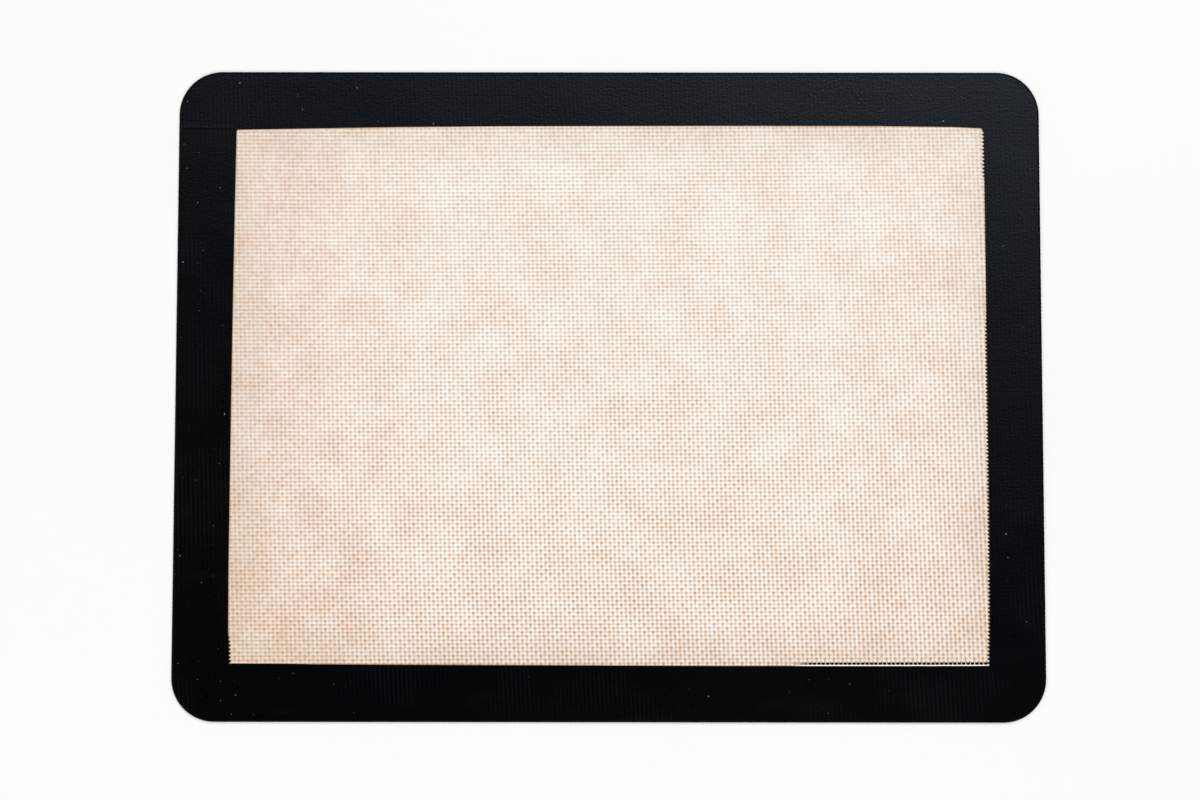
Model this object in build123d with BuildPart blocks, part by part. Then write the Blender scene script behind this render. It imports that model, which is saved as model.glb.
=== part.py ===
from build123d import *

import os
from math import cos, radians, tan

# Silicone baking mat for a 40 x 30 cm tray.
# A woven glass cloth is pressed between two silicone coats, a silicone bead
# seals its cut edge, and a black border is printed round the baking face.
# Millimetres, +Z up out of the baking face, +X along the length, +Y to the
# rear edge. The origin is the centre of the underside.

os.makedirs("parts", exist_ok=True)

# Mat outline
mat_length = 400.0
mat_width = 300.0
mat_corner_radius = 20.0

# Thickness of each layer, from the underside up, and the film between layers
underside_coat_thickness = 0.12
warp_yarn_thickness = 0.19
weft_yarn_thickness = 0.19
baking_coat_thickness = 0.11
border_print_thickness = 0.06
layer_clearance = 0.01

# Bead that seals the cut edge
seal_width = 1.0
seal_round = 0.3

# Glass cloth: warp yarns run front to rear, weft yarns run side to side, and
# both lean a little because the cloth is drawn slightly askew
warp_pitch = 1.995
warp_gap = 0.55
warp_lean_deg = 1.7
warp_shift = 0.48
weft_pitch = 1.758
weft_gap = 0.5
weft_lean_deg = 0.17
weft_shift = -0.7
cloth_setback = 0.5

# Width of the printed border at each end of each side
left_border_rear_end = 26.0
left_border_front_end = 25.6
right_border_rear_end = 25.6
right_border_front_end = 25.6
rear_border_left_end = 26.3
rear_border_right_end = 24.9
front_border_left_end = 25.8
front_border_right_end = 25.6
window_corner_radius = 1.0

# Level of each layer above the worktop
warp_level = underside_coat_thickness + layer_clearance
weft_level = warp_level + warp_yarn_thickness + layer_clearance
baking_coat_level = weft_level + weft_yarn_thickness + layer_clearance
baking_face_level = baking_coat_level + baking_coat_thickness
mat_thickness = baking_face_level + border_print_thickness

# Outline of the coats inside the bead, and of the cloth inside the coats
coat_length = mat_length - 2 * seal_width
coat_width = mat_width - 2 * seal_width
coat_corner_radius = mat_corner_radius - seal_width
cloth_length = coat_length - 2 * cloth_setback
cloth_width = coat_width - 2 * cloth_setback
cloth_corner_radius = coat_corner_radius - cloth_setback

# Corners of the window that the printed border leaves open
window_rear_left = (
    -mat_length / 2 + left_border_rear_end,
    mat_width / 2 - rear_border_left_end,
)
window_rear_right = (
    mat_length / 2 - right_border_rear_end,
    mat_width / 2 - rear_border_right_end,
)
window_front_right = (
    mat_length / 2 - right_border_front_end,
    -mat_width / 2 + front_border_right_end,
)
window_front_left = (
    -mat_length / 2 + left_border_front_end,
    -mat_width / 2 + front_border_left_end,
)


def yarn_count(cloth_across, cloth_along, spacing, lean_deg):
    """Yarns that cover the cloth, with the extra ones that enter by leaning."""
    lean_reach = cloth_along * tan(radians(lean_deg))
    return int((cloth_across + lean_reach) / spacing)


# Warp yarns as seen from above, cut to the cloth's outline
warp_spacing = warp_pitch / cos(radians(warp_lean_deg))
warp_count = yarn_count(cloth_length, cloth_width, warp_spacing, warp_lean_deg)
with BuildSketch() as warp_layout:
    with Locations((warp_shift, 0)):
        with GridLocations(warp_spacing, 0, warp_count, 1):
            Rectangle(warp_pitch - warp_gap, mat_length, rotation=warp_lean_deg)
    RectangleRounded(
        cloth_length, cloth_width, cloth_corner_radius, mode=Mode.INTERSECT
    )

# Weft yarns as seen from above, cut to the cloth's outline
weft_spacing = weft_pitch / cos(radians(weft_lean_deg))
weft_count = yarn_count(cloth_width, cloth_length, weft_spacing, weft_lean_deg)
with BuildSketch() as weft_layout:
    with Locations((0, weft_shift)):
        with GridLocations(0, weft_spacing, 1, weft_count):
            Rectangle(2 * mat_length, weft_pitch - weft_gap, rotation=weft_lean_deg)
    RectangleRounded(
        cloth_length, cloth_width, cloth_corner_radius, mode=Mode.INTERSECT
    )

# Warp yarns: flat glass strands, each its own solid, on the underside coat
with BuildPart() as warp_yarns:
    with BuildSketch(Plane.XY.offset(warp_level)):
        add(warp_layout.sketch)
    extrude(amount=warp_yarn_thickness)

# Weft yarns: flat glass strands that lie across the warp
with BuildPart() as weft_yarns:
    with BuildSketch(Plane.XY.offset(weft_level)):
        add(weft_layout.sketch)
    extrude(amount=weft_yarn_thickness)

# Underside coat: the skin that lies on the tray
with BuildPart() as underside_silicone_coat:
    with BuildSketch():
        RectangleRounded(coat_length, coat_width, coat_corner_radius)
    extrude(amount=underside_coat_thickness)

# Baking face coat: the skin above the cloth, which carries the dough
with BuildPart() as baking_face_silicone_coat:
    with BuildSketch(Plane.XY.offset(baking_coat_level)):
        RectangleRounded(coat_length, coat_width, coat_corner_radius)
    extrude(amount=baking_coat_thickness)

# Edge seal: a bead round the cut edge, rounded on its outer side
with BuildPart() as edge_seal:
    with BuildSketch():
        RectangleRounded(mat_length, mat_width, mat_corner_radius)
    extrude(amount=mat_thickness)
    rims = edge_seal.edges().group_by(Axis.Z)
    fillet(rims[0] + rims[-1], radius=seal_round)
    with BuildSketch():
        RectangleRounded(coat_length, coat_width, coat_corner_radius)
    extrude(amount=mat_thickness, mode=Mode.SUBTRACT)

# Printed border as seen from above: a frame round the window
with BuildSketch() as border_layout:
    RectangleRounded(coat_length, coat_width, coat_corner_radius)
    with BuildSketch(mode=Mode.SUBTRACT) as window:
        with BuildLine():
            Polyline(
                window_rear_left,
                window_rear_right,
                window_front_right,
                window_front_left,
                close=True,
            )
        make_face()
        fillet(window.vertices(), radius=window_corner_radius)

# The border is laid in two L-shaped passes, which meet beside the window's
# rear left corner and below its front right corner
with BuildSketch() as front_left_share_of_mat:
    with BuildLine():
        Polyline(
            (-mat_length, window_rear_left[1]),
            window_rear_left,
            window_front_right,
            (window_front_right[0], -mat_width),
            (-mat_length, -mat_width),
            close=True,
        )
    make_face()

# Border band along the left and front sides
with BuildPart() as border_band_front_left:
    with BuildSketch(Plane.XY.offset(baking_face_level)):
        add(border_layout.sketch)
        add(front_left_share_of_mat.sketch, mode=Mode.INTERSECT)
    extrude(amount=border_print_thickness)

# Border band along the rear and right sides
with BuildPart() as border_band_rear_right:
    with BuildSketch(Plane.XY.offset(baking_face_level)):
        add(border_layout.sketch)
        add(front_left_share_of_mat.sketch, mode=Mode.SUBTRACT)
    extrude(amount=border_print_thickness)

# Each piece is written under its own name
pieces = {
    "warp_yarns": warp_yarns.part,
    "weft_yarns": weft_yarns.part,
    "underside_silicone_coat": underside_silicone_coat.part,
    "baking_face_silicone_coat": baking_face_silicone_coat.part,
    "edge_seal": edge_seal.part,
    "border_band_front_left": border_band_front_left.part,
    "border_band_rear_right": border_band_rear_right.part,
}
for name, piece in pieces.items():
    piece.label = name
    export_step(piece, f"parts/{name}.step")
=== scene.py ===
from math import cos, pi, radians, sin, tan

import bpy
import numpy as np
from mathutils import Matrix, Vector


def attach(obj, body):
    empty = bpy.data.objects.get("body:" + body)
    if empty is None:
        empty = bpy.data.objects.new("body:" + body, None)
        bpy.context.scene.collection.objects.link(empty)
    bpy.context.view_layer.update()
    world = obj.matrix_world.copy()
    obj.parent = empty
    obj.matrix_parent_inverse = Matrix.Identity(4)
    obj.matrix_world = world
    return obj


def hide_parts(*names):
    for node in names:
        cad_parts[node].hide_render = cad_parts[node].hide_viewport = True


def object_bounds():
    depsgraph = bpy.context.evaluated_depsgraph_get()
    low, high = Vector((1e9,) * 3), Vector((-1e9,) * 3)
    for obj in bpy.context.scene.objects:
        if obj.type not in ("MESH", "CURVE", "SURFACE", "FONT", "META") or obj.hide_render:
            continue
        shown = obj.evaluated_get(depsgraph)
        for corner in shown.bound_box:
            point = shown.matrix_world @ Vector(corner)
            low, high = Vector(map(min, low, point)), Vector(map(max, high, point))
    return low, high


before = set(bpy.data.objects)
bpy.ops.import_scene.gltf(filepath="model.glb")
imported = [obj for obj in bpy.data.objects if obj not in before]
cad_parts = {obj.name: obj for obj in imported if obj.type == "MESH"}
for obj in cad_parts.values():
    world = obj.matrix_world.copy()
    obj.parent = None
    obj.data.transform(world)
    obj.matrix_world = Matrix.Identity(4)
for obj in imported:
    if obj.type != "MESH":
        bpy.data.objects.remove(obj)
cad_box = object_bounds()

# Camera: it looks down on the mat from 0.42 m, nearly upright, and leans a little
# towards the rear edge. Its field of view, 67 degrees, is chosen, because the
# outline fits others as well. Its place was fitted to the outline for that view.
photo_width_px = 1200
photo_focal_px = 907
sensor_width_mm = 36.0
camera_place = (-0.00387, -0.01519, 0.41854)
camera_turn_deg = (1.695, 0.027, 0.061)
camera_data = bpy.data.cameras.new("camera")
camera_data.sensor_width = sensor_width_mm
camera_data.lens = sensor_width_mm * photo_focal_px / photo_width_px
camera = bpy.data.objects.new("camera", camera_data)
camera.location = camera_place
camera.rotation_euler = [radians(turn) for turn in camera_turn_deg]
bpy.context.scene.collection.objects.link(camera)
bpy.context.scene.camera = camera
bpy.context.scene.view_settings.view_transform = "Standard"

# Worktop: a plain pale board that the mat lies flat on, with very faint patches.
# Past its rim the sky is nearly as pale, so that the rim shows only faintly.
worktop_radius = 1.3
worktop_sides = 96
worktop_drop = 0.00002
worktop_pale = (0.93, 0.93, 0.93)
worktop_patch = (0.91605, 0.91605, 0.91605)
worktop_patch_cells = 6.0
worktop_roughness = 0.8
worktop_gloss = 0.2


def new_piece(name, mesh):
    """Shows a mesh as a piece of its own."""
    piece = bpy.data.objects.new(name, mesh)
    bpy.context.scene.collection.objects.link(piece)
    return piece


def new_finish(name):
    """A new material, with its node tree and its shader."""
    finish = bpy.data.materials.new(name)
    finish.use_nodes = True
    return finish, finish.node_tree, finish.node_tree.nodes["Principled BSDF"]


def mix_node(tree, share, colour, other):
    """Mixes two colours, each an RGB triple or a socket."""
    node = tree.nodes.new("ShaderNodeMix")
    node.data_type = "RGBA"
    tree.links.new(share, node.inputs[0])
    for socket, value in ((node.inputs[6], colour), (node.inputs[7], other)):
        if isinstance(value, bpy.types.NodeSocket):
            tree.links.new(value, socket)
        else:
            socket.default_value = (*value, 1)
    return node.outputs[2]


def noise_node(tree, cells, detail=2.0, stretch=(1, 1, 1)):
    """Noise over the piece's own coordinates, in cells per metre."""
    place = tree.nodes.new("ShaderNodeTexCoord")
    spread = tree.nodes.new("ShaderNodeMapping")
    spread.inputs["Scale"].default_value = stretch
    tree.links.new(place.outputs["Object"], spread.inputs["Vector"])
    noise = tree.nodes.new("ShaderNodeTexNoise")
    noise.inputs["Scale"].default_value = cells
    noise.inputs["Detail"].default_value = detail
    tree.links.new(spread.outputs["Vector"], noise.inputs["Vector"])
    return noise.outputs["Fac"]


worktop_rim = []
for turn in np.linspace(0, 2 * pi, worktop_sides, endpoint=False).tolist():
    rim_x = worktop_radius * cos(turn)
    rim_y = worktop_radius * sin(turn)
    worktop_rim.append((rim_x, rim_y, -worktop_drop))
worktop_mesh = bpy.data.meshes.new("worktop")
worktop_mesh.from_pydata(worktop_rim, [], [tuple(range(worktop_sides))])
worktop_finish, worktop_tree, worktop_shader = new_finish("pale_worktop")
worktop_noise = noise_node(worktop_tree, worktop_patch_cells)
worktop_shade = mix_node(worktop_tree, worktop_noise, worktop_pale, worktop_patch)
worktop_tree.links.new(worktop_shade, worktop_shader.inputs["Base Color"])
worktop_shader.inputs["Roughness"].default_value = worktop_roughness
worktop_shader.inputs["Specular IOR Level"].default_value = worktop_gloss
worktop_mesh.materials.append(worktop_finish)
worktop = new_piece("worktop", worktop_mesh)

# Studio light: a bright bluish field behind the rear edge, a little to the right,
# gives the black border its sheen, and fades to the front and the horizon. Low
# down the sky is pale, to the camera it is nearly white. Three soft boxes add light.
sheen_way = (2.3, 6.8, 0.0)
sheen_offset = -2.2
sheen_limit = 1.8
sheen_colour = (0.78, 1.0, 1.24)
low_sky_colour = (1.0, 0.975, 0.94)
backdrop_colour = (0.98, 0.98, 0.975)

# Each fade, here and below, is where it starts, where it ends, and its amount at
# either end. The sky's two fades go by height, from the horizon at 0 to 1 overhead.
sheen_fade = (0.1, 0.45, 0.0, 1.0)
low_sky_fade = (0.5, 0.72, 0.6, 0.0)

# Where each soft box stands, how wide it is and its power in watts
soft_box_colour = (1.0, 0.85, 0.685)
soft_boxes = {
    "rear_soft_box": ((0.60, 1.58, 1.11), 0.9, 18.9),
    "front_soft_box": ((0.35, -1.62, 1.11), 0.9, 16.8),
    "left_soft_box": ((-1.78, -0.20, 0.92), 0.8, 11.0),
}


def math_node(tree, operation, *values):
    """A Math node whose inputs are numbers or sockets. Gives its output."""
    node = tree.nodes.new("ShaderNodeMath")
    node.operation = operation
    for socket, value in zip(node.inputs, values):
        if isinstance(value, bpy.types.NodeSocket):
            tree.links.new(value, socket)
        else:
            socket.default_value = value
    return node.outputs[0]


def fade_node(tree, value, start, end, start_amount, end_amount, shape="SMOOTHSTEP"):
    """Goes smoothly from one amount to another while value goes start to end."""
    node = tree.nodes.new("ShaderNodeMapRange")
    node.interpolation_type = shape
    tree.links.new(value, node.inputs["Value"])
    node.inputs["From Min"].default_value = start
    node.inputs["From Max"].default_value = end
    node.inputs["To Min"].default_value = start_amount
    node.inputs["To Max"].default_value = end_amount
    return node.outputs["Result"]


def axes_of(tree, vector):
    """The x, y and z sockets of a vector."""
    node = tree.nodes.new("ShaderNodeSeparateXYZ")
    tree.links.new(vector, node.inputs[0])
    return node.outputs


sky = bpy.data.worlds.new("studio_sky")
bpy.context.scene.world = sky
sky.use_nodes = True
sky_tree = sky.node_tree
sky_way = sky_tree.nodes.new("ShaderNodeTexCoord").outputs["Generated"]
sky_height = axes_of(sky_tree, sky_way)[2]
towards_field = sky_tree.nodes.new("ShaderNodeVectorMath")
towards_field.operation = "DOT_PRODUCT"
towards_field.inputs[1].default_value = sheen_way
sky_tree.links.new(sky_way, towards_field.inputs[0])
sheen_power = math_node(sky_tree, "ADD", towards_field.outputs["Value"], sheen_offset)
sheen_growth = math_node(sky_tree, "EXPONENT", sheen_power)
sheen_fullness = math_node(sky_tree, "DIVIDE", sheen_growth, sheen_limit)
sheen_damping = math_node(sky_tree, "ADD", sheen_fullness, 1.0)
sheen_rise = fade_node(sky_tree, sky_height, *sheen_fade)
sheen_strength = math_node(sky_tree, "DIVIDE", sheen_growth, sheen_damping)
sheen_strength = math_node(sky_tree, "MULTIPLY", sheen_strength, sheen_rise)
sheen_share = math_node(sky_tree, "MULTIPLY", sheen_growth, sheen_rise)
sheen_share = math_node(sky_tree, "MINIMUM", sheen_share, 1.0)
low_sky_strength = fade_node(sky_tree, sky_height, *low_sky_fade)
sky_strength = math_node(sky_tree, "MAXIMUM", sheen_strength, low_sky_strength)
sky_colour = mix_node(sky_tree, sheen_share, low_sky_colour, sheen_colour)
to_camera = sky_tree.nodes.new("ShaderNodeLightPath").outputs["Is Camera Ray"]
to_scene = math_node(sky_tree, "SUBTRACT", 1.0, to_camera)
shown_colour = mix_node(sky_tree, to_camera, sky_colour, backdrop_colour)
shown_strength = math_node(sky_tree, "MULTIPLY_ADD", sky_strength, to_scene, to_camera)
sky_shader = sky_tree.nodes["Background"]
sky_tree.links.new(shown_colour, sky_shader.inputs["Color"])
sky_tree.links.new(shown_strength, sky_shader.inputs["Strength"])

for name, (place, width, watts) in soft_boxes.items():
    lamp = bpy.data.lights.new(name, "AREA")
    lamp.size = width
    lamp.energy = watts
    lamp.color = soft_box_colour
    holder = bpy.data.objects.new(name, lamp)
    holder.location = place
    holder.rotation_euler = (-holder.location).to_track_quat("-Z", "Y").to_euler()
    bpy.context.scene.collection.objects.link(holder)

# Underside coat: a thin milky silicone skin, calendered onto the glass cloth, so
# that the weave stands in relief. It lies on the tray. It is made in four pieces,
# two below the window and two below the black border, which darkens them.
mat_low, mat_high = cad_box
mat_length = mat_high[0] - mat_low[0]
mat_width = mat_high[1] - mat_low[1]
mat_corner_radius = 0.020
millimetre = 0.001
no_length = 1e-9

# Places on the cloth are counted in yarns from the middle of the mat: u in warp
# yarns to the right, and v in weft yarns to the rear. The cloth leans and bows a
# little. A bow says how many yarns it is off, by powers of the place.
warp_pitch = 0.001995
warp_lean = radians(1.7)
warp_place = 0.00048
warp_bow = {
    (0, 0): 0.02,
    (1, 0): 0.015,
    (0, 1): 0.04,
    (2, 0): 0.02,
    (1, 1): -0.027,
    (0, 2): 0.09,
    (3, 0): 0.026,
    (0, 3): -0.21,
}
weft_pitch = 0.001758
weft_lean = radians(0.17)
weft_place = -0.000705
weft_bow = {
    (0, 0): -0.135,
    (1, 0): 0.052,
    (0, 1): -0.011,
    (2, 0): 0.049,
    (0, 2): -0.065,
    (0, 3): 0.083,
    (2, 1): 0.041,
}
bow_reach = 0.1
all_columns = (-106, 106)
left_columns = (-106, 0)
right_columns = (0, 106)
all_rows = (-88, 88)

# The weave's relief in millimetres. A yarn's half width is a share of its pitch,
# and its round section is cut off at yarn_side.
yarn_swing = 0.050
yarn_crown = 0.060
yarn_side = 0.02
yarn_half_width = 0.40
soak_level = -0.085
blend_height = 0.012

# The window is the part of the face inside the border, which is printed a little
# out of square. The window's outline runs clockwise, as seen from above.
window_outline = (
    (-0.1733, 0.1224),
    (-0.1729, 0.12285),
    (-0.1500, 0.12325),
    (-0.1000, 0.1241),
    (-0.0500, 0.1246),
    (0.0500, 0.12485),
    (0.1250, 0.1248),
    (0.1600, 0.1244),
    (0.1730, 0.1238),
    (0.1743, 0.1227),
    (0.1748, -0.0500),
    (0.1746, -0.1000),
    (0.1740, -0.1242),
    (0.1500, -0.1243),
    (0.0500, -0.1244),
    (-0.0250, -0.1242),
    (-0.1000, -0.1240),
    (-0.1736, -0.1237),
    (-0.1742, -0.1080),
    (-0.1744, -0.0800),
    (-0.1742, 0.0000),
    (-0.1738, 0.0700),
)

# The border's two passes meet beside the window's rear left corner and below
# its front right corner.
rear_left_lap = (-0.1740, 0.1237)
front_right_lap = (0.1739, -0.1243)

# A skin ends skin_tuck inside the mat's outline. A cell is kept where it reaches
# further in than that, or further out than the window, by more than a margin.
skin_tuck = 0.0006
skin_tuck_margin = 0.0002
hem_margin = 0.00008
rim_angle = radians(60)

underside_low = 0.00002
underside_back = 0.00012
underside_relief = 0.6
underside_steps = 2


def bow_at(bow, reach_x, reach_y):
    """How many yarns the cloth is off where it bows."""
    return sum(share * reach_x**a * reach_y**b for (a, b), share in bow.items())


def lattice_place(u, v):
    """Where warp u crosses weft v, with the cloth's lean and its slight bow."""
    across = warp_pitch / cos(warp_lean)
    along = weft_pitch / cos(weft_lean)
    lean = tan(warp_lean)
    tilt = tan(weft_lean)
    reach_x = u * across / bow_reach
    reach_y = v * along / bow_reach
    bowed_u = u + bow_at(warp_bow, reach_x, reach_y)
    bowed_v = v + bow_at(weft_bow, reach_x, reach_y)
    middle_y = weft_place + bowed_v * along
    x = (warp_place + bowed_u * across - lean * middle_y) / (1 + lean * tilt)
    return x, middle_y + tilt * x


def weave_height(u, v):
    """Height in millimetres of the coated plain weave above its middle."""
    this_warp = np.round(u)
    this_weft = np.round(v)
    warp_round = np.clip(1 - ((u - this_warp) / yarn_half_width) ** 2, yarn_side, 1)
    weft_round = np.clip(1 - ((v - this_weft) / yarn_half_width) ** 2, yarn_side, 1)
    warp_middle = -yarn_swing * np.cos(pi * this_warp) * np.cos(pi * v)
    weft_middle = yarn_swing * np.cos(pi * this_weft) * np.cos(pi * u)
    layers = (
        warp_middle + yarn_crown * (np.sqrt(warp_round) - 1),
        weft_middle + yarn_crown * (np.sqrt(weft_round) - 1),
        np.full_like(u, soak_level),
    )
    return blend_height * np.log(sum(np.exp(layer / blend_height) for layer in layers))


def inset_of(x, y):
    """How far a point lies inside the mat's outline, and the way inwards."""
    past_x = np.abs(x) - (mat_length / 2 - mat_corner_radius)
    past_y = np.abs(y) - (mat_width / 2 - mat_corner_radius)
    corner_x = np.maximum(past_x, 0)
    corner_y = np.maximum(past_y, 0)
    reach = np.hypot(corner_x, corner_y)
    outer = reach > no_length
    inset = mat_corner_radius - np.where(outer, reach, np.maximum(past_x, past_y))
    safe_reach = np.where(outer, reach, 1)
    inward_x = np.where(outer, corner_x / safe_reach, past_x > past_y)
    inward_y = np.where(outer, corner_y / safe_reach, past_y >= past_x)
    return inset, -inward_x * np.sign(x), -inward_y * np.sign(y)


def window_depth(x, y):
    """How far inside the window a point lies, and the way out to its edge."""
    depth = np.full_like(x, np.inf)
    out_x = np.zeros_like(x)
    out_y = np.zeros_like(x)
    following = window_outline[1:] + window_outline[:1]
    for (ax, ay), (bx, by) in zip(window_outline, following):
        run = np.hypot(bx - ax, by - ay)
        way_x = (ay - by) / run
        way_y = (bx - ax) / run
        side_depth = (ax - x) * way_x + (ay - y) * way_y
        nearer = side_depth < depth
        depth = np.where(nearer, side_depth, depth)
        out_x = np.where(nearer, way_x, out_x)
        out_y = np.where(nearer, way_y, out_y)
    return depth, out_x, out_y


def in_window(x, y):
    """Whether a point lies inside the border."""
    return window_depth(x, y)[0] > 0


def front_left_side(x, y):
    """Whether a point belongs to the front left half of the mat."""
    (lap_x, lap_y), (end_x, end_y) = rear_left_lap, front_right_lap
    below = (x - lap_x) * (end_y - lap_y) - (y - lap_y) * (end_x - lap_x) > 0
    between = (x > lap_x) & (y > end_y)
    return np.where(between, below, (x < end_x) & (y < lap_y))


def most_of_cell(value):
    """The highest of the values at each cell's four corners."""
    left = np.maximum(value[:-1, :-1], value[1:, :-1])
    right = np.maximum(value[:-1, 1:], value[1:, 1:])
    return np.maximum(left, right)


def rim_loop(cells):
    """The outline of a patch of cells, as its points in order."""
    rims = np.concatenate([cells[:, [k, (k + 1) % 4]] for k in range(4)]).tolist()
    inner = {(b, a) for a, b in rims}
    following = {a: b for a, b in rims if (a, b) not in inner}
    loop = [min(following)]
    while following[loop[-1]] != loop[0]:
        loop.append(following[loop[-1]])
    return np.array(loop)


def skin_mesh(name, columns, steps, keep, height, back_level, face=1, hemmed=False):
    """A closed skin over the warps in columns, with steps points to each yarn.
    keep chooses its cells, and height gives its outer side. face is 1 upwards
    and -1 downwards, and its back is flat at back_level. A hemmed skin ends at
    the window's edge. Every point keeps its warp, weft and depth in the window."""
    u = np.arange(columns[0], columns[1] + 0.5 / steps, 1 / steps)
    v = np.arange(all_rows[0], all_rows[1] + 0.5 / steps, 1 / steps)
    u, v = np.meshgrid(u, v)
    x, y = lattice_place(u, v)
    inset, inward_x, inward_y = inset_of(x, y)
    depth, out_x, out_y = window_depth(x, y)
    kept = keep((x[:-1, :-1] + x[1:, 1:]) / 2, (y[:-1, :-1] + y[1:, 1:]) / 2)
    kept &= most_of_cell(inset) > skin_tuck + skin_tuck_margin
    if hemmed:
        kept &= most_of_cell(-depth) > hem_margin
        over = np.maximum(depth, 0)
        x = x + over * out_x
        y = y + over * out_y
        depth = np.minimum(depth, 0)
    short = np.maximum(skin_tuck - inset, 0)
    x = x + short * inward_x
    y = y + short * inward_y
    z = height(u, v, depth, x, y)

    # The outer side is the kept cells. A wall and a flat back close the skin.
    number = np.arange(u.size).reshape(u.shape)
    corners = [number[:-1, :-1], number[:-1, 1:], number[1:, 1:], number[1:, :-1]]
    used, cells = np.unique(np.stack(corners, -1)[kept], return_inverse=True)
    cells = cells.reshape(-1, 4)[:, ::face]
    places = np.stack([x.ravel()[used], y.ravel()[used], z.ravel()[used]], -1)
    loop = rim_loop(cells)
    next_loop = np.roll(loop, -1)
    back = places[loop]
    back[:, 2] = back_level
    back_loop = len(places) + np.arange(len(loop))
    walls = np.stack([next_loop, loop, back_loop, np.roll(back_loop, -1)], -1)
    faces = cells.tolist() + walls.tolist() + [back_loop[::-1].tolist()]
    mesh = bpy.data.meshes.new(name)
    mesh.from_pydata(np.concatenate([places, back]).tolist(), [], faces)
    mesh.shade_smooth()
    mesh.set_sharp_from_angle(angle=rim_angle)

    kept_as = np.concatenate([used, used[loop]])
    lattice = np.stack([u.ravel(), v.ravel(), depth.ravel() / millimetre], -1)[kept_as]
    weave = mesh.attributes.new("weave", "FLOAT_VECTOR", "POINT")
    weave.data.foreach_set("vector", lattice.astype(np.float32).ravel())
    return new_piece(name, mesh)


def underside_height(u, v, depth, x, y):
    """The weave's relief on the side that faces the tray, where each place has
    what its neighbour has on the baking face."""
    relief = weave_height(u + 1, v) * millimetre * underside_relief
    top = (yarn_swing + blend_height) * millimetre * underside_relief
    return underside_low + top - relief


# Colours of the milky silicone: pale on the crowns, which is partly painted highlight, tan
# where it lies deep, and dark below the border. The ink is the border's own, which ran
# into openings.
# They and their fades are matched by tone to the photograph, so part of the change
# from side to side may be its light and not the silicone.
pale_crown = (0.985, 0.97, 0.945)
deep_tan = (0.60, 0.30, 0.13)
dark_crown = (0.17, 0.165, 0.16)
dark_valley = (0.045, 0.04, 0.038)
# The next colour is painted shade: the window darkens towards it near the border.
painted_shade_beige = (0.47, 0.42, 0.29)
edge_brown = (0.30, 0.15, 0.08)
ink_black = (0.003, 0.0025, 0.002)

# The fades of this finish go by warps from left to right, by wefts from front to
# rear, by millimetres of depth inside the window, or by noise. Amounts of tan run
# from the palest to the tannest.
palest_amount = -0.2
tannest_amount = 1.7
# The fades to the left, the right end and the front are partly the silicone's own tone and
# partly painted shade.
tan_and_shade_to_left = (-35.0, -85.0, 0.40, 0.69)
tan_and_shade_to_right = (45.0, 85.0, 0.0, 0.11)
tan_and_shade_to_front = (-10.0, -75.0, 0.0, 0.20)
tan_to_border = (8.0, 0.0, 0.0, 0.12)
cloud_tan = (0.3, 0.7, -0.13, 0.13)
cloud_cells = 45.0
cloud_detail = 3.0
grain_tan = (0.3, 0.7, -0.14, 0.14)
grain_cells = 420.0
grain_detail = 1.0
# Painted shade: over the last 24 millimetres before the border the window darkens towards
# a grey beige.
painted_shade_to_border = (24.0, 0.0, 0.0, 0.20)


def ground_tan_and_shade(tree, warp, weft, depth):
    """How tan the silicone is under its pattern. It goes tanner and darker to the
    left, to the right end and to the front, partly its own tone and partly painted
    shade, tanner to the border, and has clouds and a fine grain."""
    cloud = noise_node(tree, cloud_cells, cloud_detail)
    grain = noise_node(tree, grain_cells, grain_detail)
    fades = (
        (warp, tan_and_shade_to_right),
        (weft, tan_and_shade_to_front),
        (depth, tan_to_border),
        (cloud, cloud_tan),
        (grain, grain_tan),
    )
    amount = fade_node(tree, warp, *tan_and_shade_to_left)
    for value, fade in fades:
        amount = math_node(tree, "ADD", amount, fade_node(tree, value, *fade))
    return amount


# The weave's own pattern: tan streaks and lines where the silicone lies deep, pale crowns
# between them that are partly painted highlight, and painted shade on the slope where a
# warp yarn dives to the front, away from the light. A start is in turns of its wave.
streak_depth = 0.58
streak_start = 0.05
streak_to_front = (75.0, -45.0, 0.52, 0.90)
streak_to_left = (-25.0, -95.0, 1.0, 0.50)
line_depth = 0.47
line_start = 0.29
line_to_right = (20.0, 80.0, 1.0, 0.75)
line_to_left = (-25.0, -95.0, 1.0, 0.80)
# Painted shade on the slope where each warp yarn dives to the front
slope_shade_depth = 0.45
slope_shade_to_front = (75.0, -65.0, 0.38, 0.92)
slope_shade_to_left = (-25.0, -95.0, 1.0, 0.60)
slope_shade_unevenness = (0.3, 0.7, 0.7, 1.3)
slope_shade_cells = 150.0
slope_shade_detail = 1.0


def wave_node(tree, shape, value, turn, start=0.0):
    """A SINE or COSINE that goes on by an angle, turn, for each yarn."""
    angle = math_node(tree, "MULTIPLY_ADD", value, turn, start)
    return math_node(tree, shape, angle)


def faded(tree, amount, *fades):
    """An amount made fainter or stronger by fades, each with its value."""
    for value, fade in fades:
        amount = math_node(tree, "MULTIPLY", amount, fade_node(tree, value, *fade))
    return amount


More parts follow.
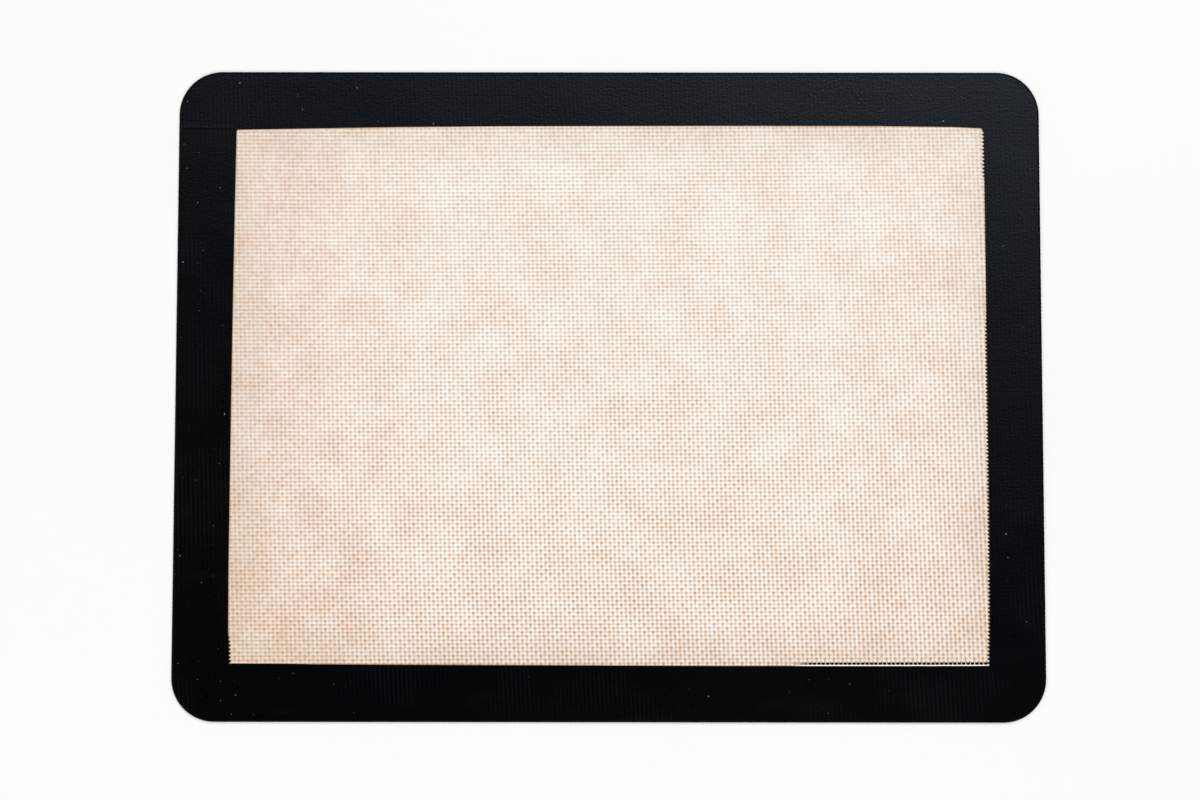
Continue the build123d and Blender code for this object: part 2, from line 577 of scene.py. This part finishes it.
def woven_tan_and_shade(tree, warp, weft, amount):
    """Adds the pattern of the weave: a streak along each warp yarn, a line behind
    each row of openings, and painted shade where a warp yarn dives to the front."""
    streak = wave_node(tree, "COSINE", warp, 2 * pi, 2 * pi * streak_start)
    streak = faded(tree, streak, (weft, streak_to_front), (warp, streak_to_left))
    line = wave_node(tree, "COSINE", weft, 2 * pi, 2 * pi * line_start)
    line = faded(tree, line, (warp, line_to_right), (warp, line_to_left))
    over_warp = wave_node(tree, "COSINE", warp, pi)
    between_wefts = wave_node(tree, "SINE", weft, pi)
    # Painted shade where a warp yarn dives to the front
    slope_shade = math_node(tree, "MULTIPLY", over_warp, between_wefts)
    slope_shade = faded(tree, slope_shade, (weft, slope_shade_to_front), (warp, slope_shade_to_left))
    slope_shade_noise = noise_node(tree, slope_shade_cells, slope_shade_detail)
    slope_shade = faded(tree, slope_shade, (slope_shade_noise, slope_shade_unevenness))
    for part, depth in ((streak, streak_depth), (line, line_depth), (slope_shade, slope_shade_depth)):
        amount = math_node(tree, "MULTIPLY_ADD", part, depth, amount)
    return amount


# A brown line runs right at the border. Along the front edge's right part there
# are ink dashes, and the silicone between them and the border is pale instead.
dashes_from = (38.0, 44.0, 0.0, 1.0)
dashes_below = (-68.7, -69.1, 0.0, 1.0)
brown_to_border = (0.7, 0.0, 0.0, 0.85)
pale_to_border = (0.75, 0.5, 0.0, 1.0)


def edge_line(tree, depth, dash_part, colour, pale_colour):
    """Draws the line at the border over a colour."""
    other_part = math_node(tree, "SUBTRACT", 1.0, dash_part)
    brown_share = faded(tree, other_part, (depth, brown_to_border))
    pale_share = faded(tree, dash_part, (depth, pale_to_border))
    colour = mix_node(tree, brown_share, colour, edge_brown)
    return mix_node(tree, pale_share, colour, pale_colour)


# Ink teeth stand in the valleys along the right edge and at the front end of the
# left edge, and the right ones are short along a calm stretch.
tooth_length = 1.05
tooth_bluntness = 0.9
tooth_rim = (0.1, -0.02, 0.0, 1.0)
right_teeth_from = (60.0, 70.0, 0.0, 1.0)
right_teeth_top = (70.0, 69.3, 0.0, 1.0)
right_teeth_foot = (-70.3, -69.6, 0.0, 1.0)
calm_foot = (14.0, 24.0, 0.0, 1.0)
calm_top = (59.0, 55.0, 0.0, 1.0)
calm_teeth = (0.0, 1.0, 1.0, 0.25)
left_teeth_from = (-70.0, -80.0, 0.0, 1.0)
left_teeth_top = (-61.0, -64.0, 0.0, 1.0)


def ink_teeth(tree, warp, weft, depth):
    """How much of each point the ink teeth cover."""
    calm = faded(tree, 1.0, (weft, calm_foot), (weft, calm_top))
    right_rows = ((weft, right_teeth_top), (weft, right_teeth_foot))
    right = faded(tree, 1.0, (warp, right_teeth_from), *right_rows, (calm, calm_teeth))
    left = faded(tree, 1.0, (warp, left_teeth_from), (weft, left_teeth_top))
    ends = math_node(tree, "MAXIMUM", right, left)
    between_wefts = wave_node(tree, "SINE", weft, pi)
    valley = math_node(tree, "MULTIPLY", between_wefts, between_wefts)
    tooth = math_node(tree, "POWER", valley, tooth_bluntness)
    tooth_reach = math_node(tree, "MULTIPLY", tooth, tooth_length)
    tooth_reach = math_node(tree, "MULTIPLY", tooth_reach, ends)
    beyond_tooth = math_node(tree, "SUBTRACT", depth, tooth_reach)
    return fade_node(tree, beyond_tooth, *tooth_rim)


# Ink dashes lie in the last row of openings, a little in front of its middle,
# and stop at each warp yarn.
dash_drop = 0.18
dash_rim = (0.0, 0.16, 0.0, 1.0)
dash_end = (0.03, 0.15, 0.0, 1.0)
last_row_from = (0.45, 0.6, 0.0, 1.0)
last_row_to = (1.8, 1.6, 0.0, 1.0)


def ink_dashes(tree, warp, weft, depth, dash_part):
    """How much of each point the ink dashes cover."""
    between_wefts = wave_node(tree, "SINE", weft, pi, pi * dash_drop)
    valley = math_node(tree, "MULTIPLY", between_wefts, between_wefts)
    between_warps = wave_node(tree, "SINE", warp, pi)
    opening = math_node(tree, "MULTIPLY", between_warps, between_warps)
    last_row = ((depth, last_row_from), (depth, last_row_to))
    return faded(tree, dash_part, (valley, dash_rim), (opening, dash_end), *last_row)


# The silicone is satin, and the ink dashes on it are glossier.
silicone_gloss = 0.3
silicone_roughness = (0.3, 0.7, 0.36, 0.5)
silicone_rough_cells = 900.0
ink_smoothing = -0.2


def weave_axes(tree):
    """The warp, the weft and the depth in the window at a point of a skin."""
    weave = tree.nodes.new("ShaderNodeAttribute")
    weave.attribute_name = "weave"
    return axes_of(tree, weave.outputs["Vector"])


def milky_silicone(name, pale_colour, tan_colour):
    """Silicone over glass cloth: pale where a weft yarn crowns, partly painted
    highlight, and tan where the silicone lies deep, with painted shade where a warp
    yarn dives. Towards the border it darkens to a beige, which is painted shade,
    and ink has run into the nearest openings."""
    finish, tree, shader = new_finish(name)
    warp, weft, depth = weave_axes(tree)
    amount = ground_tan_and_shade(tree, warp, weft, depth)
    amount = woven_tan_and_shade(tree, warp, weft, amount)
    scale = (palest_amount, tannest_amount, 0.0, 1.0)
    tan_and_shade_share = fade_node(tree, amount, *scale, shape="LINEAR")
    painted_shade_share = fade_node(tree, depth, *painted_shade_to_border)
    dash_part = faded(tree, 1.0, (warp, dashes_from), (weft, dashes_below))
    teeth = ink_teeth(tree, warp, weft, depth)
    dashes = ink_dashes(tree, warp, weft, depth, dash_part)
    # The tan share carries painted shade as well as the silicone's own tan.
    colour = mix_node(tree, tan_and_shade_share, pale_colour, tan_colour)
    # Painted shade, darkening towards the border
    colour = mix_node(tree, painted_shade_share, colour, painted_shade_beige)
    colour = edge_line(tree, depth, dash_part, colour, pale_colour)
    colour = mix_node(tree, teeth, colour, ink_black)
    colour = mix_node(tree, dashes, colour, ink_black)
    tree.links.new(colour, shader.inputs["Base Color"])
    rough_noise = noise_node(tree, silicone_rough_cells)
    rough = fade_node(tree, rough_noise, *silicone_roughness)
    rough = math_node(tree, "MULTIPLY_ADD", dashes, ink_smoothing, rough)
    tree.links.new(rough, shader.inputs["Roughness"])
    shader.inputs["Specular IOR Level"].default_value = silicone_gloss
    return finish


underside_finish = milky_silicone("underside_silicone", pale_crown, deep_tan)
underside_dark_finish = milky_silicone(
    "underside_silicone_over_border", dark_crown, dark_valley
)
underside_parts = {
    "underside_window_left_skin": (left_columns, in_window, underside_finish),
    "underside_window_right_skin": (right_columns, in_window, underside_finish),
    "underside_front_left_skin": (
        all_columns,
        lambda x, y: ~in_window(x, y) & front_left_side(x, y),
        underside_dark_finish,
    ),
    "underside_rear_right_skin": (
        all_columns,
        lambda x, y: ~in_window(x, y) & ~front_left_side(x, y),
        underside_dark_finish,
    ),
}
for name, (columns, keep, finish) in underside_parts.items():
    skin = skin_mesh(
        name,
        columns,
        underside_steps,
        keep,
        underside_height,
        underside_back,
        face=-1,
    )
    skin.data.materials.append(finish)
    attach(skin, "root")
    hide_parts("underside_silicone_coat")

# Glass cloth: a plain weave of warp and weft strands of glass yarn, sealed
# between the two coats, whose relief hides them. The solids' own strands stay.
yarn_white = (0.93, 0.9, 0.86)
yarn_cream = (0.78, 0.73, 0.66)
yarn_roughness = 0.45
filament_cells = 1500.0
filament_detail = 3.0
yarn_finish, yarn_tree, yarn_shader = new_finish("glass_yarn")
filament_noise = noise_node(yarn_tree, filament_cells, filament_detail)
yarn_colour = mix_node(yarn_tree, filament_noise, yarn_white, yarn_cream)
yarn_tree.links.new(yarn_colour, yarn_shader.inputs["Base Color"])
yarn_shader.inputs["Roughness"].default_value = yarn_roughness
for node in ("warp_yarns", "weft_yarns"):
    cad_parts[node].data.materials.clear()
    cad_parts[node].data.materials.append(yarn_finish)

# Baking face coat: the milky silicone skin that carries the dough, with the weave
# in relief. It is laid in panels, each as wide as a third of the window, and runs
# on a little way under the printed border.
window_level = 0.000625
window_back = 0.00053
window_margin = 0.002
window_steps = 3
window_step = 1 / window_steps
panel_columns = (-92, -30 + window_step, 31 - window_step, 92)


def window_height(u, v, depth, x, y):
    """The weave's relief on the baking face."""
    return window_level + weave_height(u, v) * millimetre


window_finish = milky_silicone("baking_face_silicone", pale_crown, deep_tan)
for number in range(len(panel_columns) - 1):
    panel = skin_mesh(
        "baking_face_skin_%d" % (number + 1),
        panel_columns[number : number + 2],
        window_steps,
        lambda x, y: window_depth(x, y)[0] > -window_margin,
        window_height,
        window_back,
    )
    panel.data.materials.append(window_finish)
    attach(panel, "root")
    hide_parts("baking_face_silicone_coat")

# Printed border: black silicone laid over the coat in two L-shaped passes. It
# levels out much of the weave, thins to a film over the yarns at the window, and
# stands a little higher where the passes lap.
border_level = 0.00066
border_back = 0.00054
border_emboss = 0.55
border_reach = 0.001
border_steps = 3
film_thickness = 0.00002
film_run = 0.0014
lap_height = 0.00006
lap_half_width = 0.0007
clear_of_lap = 1.0

# The print is black, slightly greyer in ribs where it is thin, and hazy.
print_black = (0.0003, 0.0005, 0.0008)
thin_black = (0.0022, 0.0028, 0.0037)
thin_patches = (0.42, 0.68, 0.0, 1.0)
thin_cells = 25.0
thin_ribs = (-0.6, 1.0, 0.0, 1.0)
haze = (0.5, 0.85, 0.0, 0.005)
haze_cells = 30.0
haze_detail = 5.0
haze_stretch = (1, 2.5, 1)
print_gloss = 0.22
print_roughness = (0.3, 0.7, 0.2, 0.27)
print_rough_cells = 2500.0
peel_cells = 1000.0
peel_detail = 1.0
peel_height = 0.00012
rib_share = 0.08

# Single specks of dust lie on it, one at most in a cell, and more of them to the
# left. That fade goes by metres from left to right. Sizes are shares of a cell.
dust_grey = (0.30, 0.31, 0.33)
dust_cells = 110.0
dust_to_right = (-0.19, -0.02, 0.55, 0.14)
dust_choice = (0.0, 0.02, 0.0, 1.0)
dust_sizes = (0.0, 1.0, 0.008, 0.03)
dust_rim = (-0.01, 0.012, 0.0, 1.0)
dust_strength = (0.0, 1.0, 0.08, 1.0)


def border_height(u, v, depth, x, y):
    """Top of the print: a shallow weave, a film at the window, with its laps."""
    near = np.clip(1 + depth / film_run, 0, 1)
    film_share = near * near * (3 - 2 * near)
    (lap_x, lap_y), (end_x, end_y) = rear_left_lap, front_right_lap
    off_left = np.where(x < lap_x, np.abs(y - lap_y), clear_of_lap)
    off_front = np.where(y < end_y, np.abs(x - end_x), clear_of_lap)
    lap = np.exp(-((np.minimum(off_left, off_front) / lap_half_width) ** 2))
    weave = weave_height(u, v) * millimetre
    print_top = border_level + lap_height * lap + border_emboss * weave
    film_top = window_level + film_thickness + weave
    return print_top + film_share * (film_top - print_top)


def dust_on(tree):
    """How much of each point the specks of dust cover."""
    place = tree.nodes.new("ShaderNodeTexCoord").outputs["Object"]
    specks = tree.nodes.new("ShaderNodeTexVoronoi")
    specks.voronoi_dimensions = "2D"
    specks.inputs["Scale"].default_value = dust_cells
    tree.links.new(place, specks.inputs["Vector"])
    picks = tree.nodes.new("ShaderNodeSeparateColor")
    tree.links.new(specks.outputs["Color"], picks.inputs[0])
    choice, size, paleness = picks.outputs
    many = fade_node(tree, axes_of(tree, place)[0], *dust_to_right)
    chosen = math_node(tree, "SUBTRACT", many, choice)
    size = fade_node(tree, size, *dust_sizes)
    inside = math_node(tree, "SUBTRACT", size, specks.outputs["Distance"])
    cover = fade_node(tree, inside, *dust_rim)
    paleness = math_node(tree, "MULTIPLY", paleness, paleness)
    return faded(tree, cover, (chosen, dust_choice), (paleness, dust_strength))


def black_silicone(name):
    """The print's finish: satin black, with the warp's ribs and a fine peel."""
    finish, tree, shader = new_finish(name)
    ribs = wave_node(tree, "COSINE", weave_axes(tree)[0], 2 * pi)
    patches = noise_node(tree, thin_cells)
    thin_share = faded(tree, 1.0, (ribs, thin_ribs), (patches, thin_patches))
    haze_noise = noise_node(tree, haze_cells, haze_detail, haze_stretch)
    haze_share = fade_node(tree, haze_noise, *haze)
    colour = mix_node(tree, thin_share, print_black, thin_black)
    colour = mix_node(tree, haze_share, colour, dust_grey)
    colour = mix_node(tree, dust_on(tree), colour, dust_grey)
    tree.links.new(colour, shader.inputs["Base Color"])
    rough = fade_node(tree, noise_node(tree, print_rough_cells), *print_roughness)
    tree.links.new(rough, shader.inputs["Roughness"])
    shader.inputs["Specular IOR Level"].default_value = print_gloss
    peel = noise_node(tree, peel_cells, peel_detail)
    relief = math_node(tree, "MULTIPLY_ADD", ribs, rib_share, peel)
    bump = tree.nodes.new("ShaderNodeBump")
    bump.inputs["Strength"].default_value = 1.0
    bump.inputs["Distance"].default_value = peel_height
    tree.links.new(relief, bump.inputs["Height"])
    tree.links.new(bump.outputs["Normal"], shader.inputs["Normal"])
    return finish


border_finish = black_silicone("black_silicone")
border_passes = {
    "border_band_front_left": lambda x, y: front_left_side(x, y),
    "border_band_rear_right": lambda x, y: ~front_left_side(x, y),
}
for node, side in border_passes.items():
    band = skin_mesh(
        node + "_print",
        all_columns,
        border_steps,
        lambda x, y: (window_depth(x, y)[0] < border_reach) & side(x, y),
        border_height,
        border_back,
        hemmed=True,
    )
    band.data.materials.append(border_finish)
    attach(band, "root")
    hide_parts(node)

# Edge seal: a bead of duller black silicone drawn round the cut edge, with the
# ends of the yarns just showing through it as a fine ripple.
bead_width = 0.001
bead_radius = 0.00034
bead_top = mat_high[2]
bead_step = 0.0004
bead_ripple = 0.00007
bead_turns = 9
bead_black = (0.0006, 0.0008, 0.0011)
bead_grey = (0.0022, 0.0026, 0.0032)
bead_cells = 800.0
bead_roughness = 0.55
bead_gloss = 0.06


def outline_run():
    """Points round the mat's outline, with the way outwards at each."""
    straight_x = mat_length / 2 - mat_corner_radius
    straight_y = mat_width / 2 - mat_corner_radius
    sides = (
        (straight_x, straight_y, 0.0, 2 * straight_x),
        (-straight_x, straight_y, pi / 2, 2 * straight_y),
        (-straight_x, -straight_y, pi, 2 * straight_x),
        (straight_x, -straight_y, 3 * pi / 2, 2 * straight_y),
    )
    corner_steps = int(mat_corner_radius * pi / 2 / bead_step)
    points = []
    for centre_x, centre_y, start, straight in sides:
        for k in range(corner_steps):
            turn = start + pi / 2 * k / corner_steps
            points.append((centre_x, centre_y, turn, 0.0))
        straight_steps = int(straight / bead_step)
        for k in range(straight_steps):
            run = straight * k / straight_steps
            points.append((centre_x, centre_y, start + pi / 2, run))
    middle_x, middle_y, turns, runs = np.array(points).T
    out_x = np.cos(turns)
    out_y = np.sin(turns)
    x = middle_x + mat_corner_radius * out_x - out_y * runs
    y = middle_y + mat_corner_radius * out_y + out_x * runs
    return x, y, out_x, out_y


# The ripple goes by how far the outline has come from one yarn to the next.
rim_x, rim_y, out_x, out_y = outline_run()
warp_count = (rim_x + tan(warp_lean) * rim_y - warp_place) * cos(warp_lean) / warp_pitch
weft_count = (rim_y - tan(weft_lean) * rim_x - weft_place) * cos(weft_lean) / weft_pitch
warp_ripple = out_y**2 * np.sin(pi * warp_count) ** 2
weft_ripple = out_x**2 * np.sin(pi * weft_count) ** 2
ripple = bead_ripple * (warp_ripple + weft_ripple)

# The bead's section: each point's inset and level, and its share of the ripple
section = []
for turn in np.linspace(-pi / 2, pi / 2, bead_turns):
    inset = bead_radius * (1 - cos(turn))
    level = bead_top / 2 * (1 + sin(turn))
    section.append((inset, level, cos(turn)))
section += [(bead_width, bead_top, 0.0), (bead_width, 0.0, 0.0)]

rings = []
for inset, level, ripple_share in section:
    ring_inset = inset + ripple_share * ripple
    ring_x = rim_x - ring_inset * out_x
    ring_y = rim_y - ring_inset * out_y
    rings.append(np.stack([ring_x, ring_y, np.full_like(ring_x, level)], -1))
ring_points = len(rim_x)
here = np.arange(ring_points)
after = (here + 1) % ring_points
bead_faces = []
for k in range(len(section)):
    low = k * ring_points
    high = (k + 1) % len(section) * ring_points
    ring_faces = np.stack([low + here, low + after, high + after, high + here], -1)
    bead_faces += ring_faces.tolist()
bead_mesh = bpy.data.meshes.new("edge_seal_bead")
bead_mesh.from_pydata(np.concatenate(rings).tolist(), [], bead_faces)
bead_mesh.shade_smooth()
bead_mesh.set_sharp_from_angle(angle=rim_angle)

bead_finish, bead_tree, bead_shader = new_finish("bead_silicone")
bead_noise = noise_node(bead_tree, bead_cells)
bead_colour = mix_node(bead_tree, bead_noise, bead_black, bead_grey)
bead_tree.links.new(bead_colour, bead_shader.inputs["Base Color"])
bead_shader.inputs["Roughness"].default_value = bead_roughness
bead_shader.inputs["Specular IOR Level"].default_value = bead_gloss
bead_mesh.materials.append(bead_finish)
bead = new_piece("edge_seal_bead", bead_mesh)
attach(bead, "root")
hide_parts("edge_seal")
